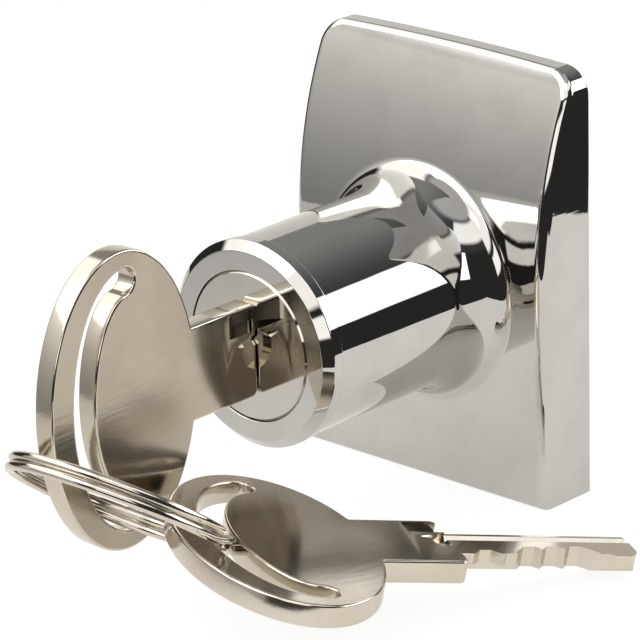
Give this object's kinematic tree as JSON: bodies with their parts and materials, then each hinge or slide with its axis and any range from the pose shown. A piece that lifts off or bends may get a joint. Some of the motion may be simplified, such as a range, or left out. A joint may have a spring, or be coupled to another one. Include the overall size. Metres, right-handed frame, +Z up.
{
  "type": "glass cabinet door lock",
  "caption": "Cam lock for a glass cabinet door: chromed plate and barrel, disc tumbler plug, cam and nut behind the glass, flat keys on a split ring.",
  "frame": {"origin": "on the barrel axis, at the back face of the plate that lies on the glass", "axes": "+Z up, +Y along the barrel axis into the cabinet, the key points to -Y, +X to the right seen from the front"},
  "size_m": [0.0549, 0.0763, 0.0425],
  "materials": {
    "chrome": "mirror chrome plating",
    "core": "polished nickel",
    "brass": "plain",
    "steel": "zinc plated",
    "spring": "drawn wire",
    "key": "satin nickel silver",
    "ring": "polished nickel",
    "rubber": "matt black"
  },
  "bodies": {
    "housing": {"housing": "chrome", "front_gasket": "rubber", "rear_gasket": "rubber", "fixing_washer": "steel", "fixing_nut": "steel"},
    "plug": {"plug": "core", "tumbler_spring_1": "spring", "tumbler_spring_2": "spring", "tumbler_spring_3": "spring", "tumbler_spring_4": "spring", "tumbler_spring_5": "spring", "tumbler_spring_6": "spring", "stop_pin": "steel", "retaining_washer": "steel", "cam": "steel", "lock_washer": "steel", "cam_screw": "steel"},
    "key_1": {"key_1": "key"},
    "split_ring": {"split_ring": "ring"},
    "key_2": {"key_2": "key"},
    "tumbler_1": {"tumbler_1": "brass"},
    "tumbler_2": {"tumbler_2": "brass"},
    "tumbler_3": {"tumbler_3": "brass"},
    "tumbler_4": {"tumbler_4": "brass"},
    "tumbler_5": {"tumbler_5": "brass"},
    "tumbler_6": {"tumbler_6": "brass"}
  },
  "joints": [
    {"name": "key_turn", "type": "hinge", "parent": "housing", "child": "plug", "pos_m": [0, 0, 0], "axis": [0, -1, 0], "range_deg": [0, 90]},
    {"name": "key_pull", "type": "slide", "parent": "plug", "child": "key_1", "axis": [0, -1, 0], "range_m": [0, 0.02]},
    {"name": "ring_slide", "type": "hinge", "parent": "key_1", "child": "split_ring", "pos_m": [0.00687, -0.05424, -0.00612], "axis": [-0.0369, 0.5866, 0.809], "range_deg": [-12, 0]},
    {"name": "spare_key_swing", "type": "hinge", "parent": "split_ring", "child": "key_2", "pos_m": [0.00687, -0.05424, -0.00612], "axis": [-0.0369, 0.5866, 0.809], "range_deg": [-24, 0]},
    {"name": "tumbler_1_rise", "type": "slide", "parent": "plug", "child": "tumbler_1", "axis": [0, 0, 1], "range_m": [0, 0.001], "deforming": ["tumbler_spring_1"]},
    {"name": "tumbler_2_rise", "type": "slide", "parent": "plug", "child": "tumbler_2", "axis": [0, 0, 1], "range_m": [0, 0.001], "deforming": ["tumbler_spring_2"]},
    {"name": "tumbler_3_rise", "type": "slide", "parent": "plug", "child": "tumbler_3", "axis": [0, 0, 1], "range_m": [0, 0.001], "deforming": ["tumbler_spring_3"]},
    {"name": "tumbler_4_rise", "type": "slide", "parent": "plug", "child": "tumbler_4", "axis": [0, 0, 1], "range_m": [0, 0.001], "deforming": ["tumbler_spring_4"]},
    {"name": "tumbler_5_rise", "type": "slide", "parent": "plug", "child": "tumbler_5", "axis": [0, 0, 1], "range_m": [0, 0.001], "deforming": ["tumbler_spring_5"]},
    {"name": "tumbler_6_rise", "type": "slide", "parent": "plug", "child": "tumbler_6", "axis": [0, 0, 1], "range_m": [0, 0.001], "deforming": ["tumbler_spring_6"]}
  ],
  "couplings": [
    {"joint": "tumbler_1_rise", "follows": "key_pull", "ratio": 0.05},
    {"joint": "tumbler_2_rise", "follows": "key_pull", "ratio": 0.05},
    {"joint": "tumbler_3_rise", "follows": "key_pull", "ratio": 0.05},
    {"joint": "tumbler_4_rise", "follows": "key_pull", "ratio": 0.05},
    {"joint": "tumbler_5_rise", "follows": "key_pull", "ratio": 0.05},
    {"joint": "tumbler_6_rise", "follows": "key_pull", "ratio": 0.05}
  ]
}
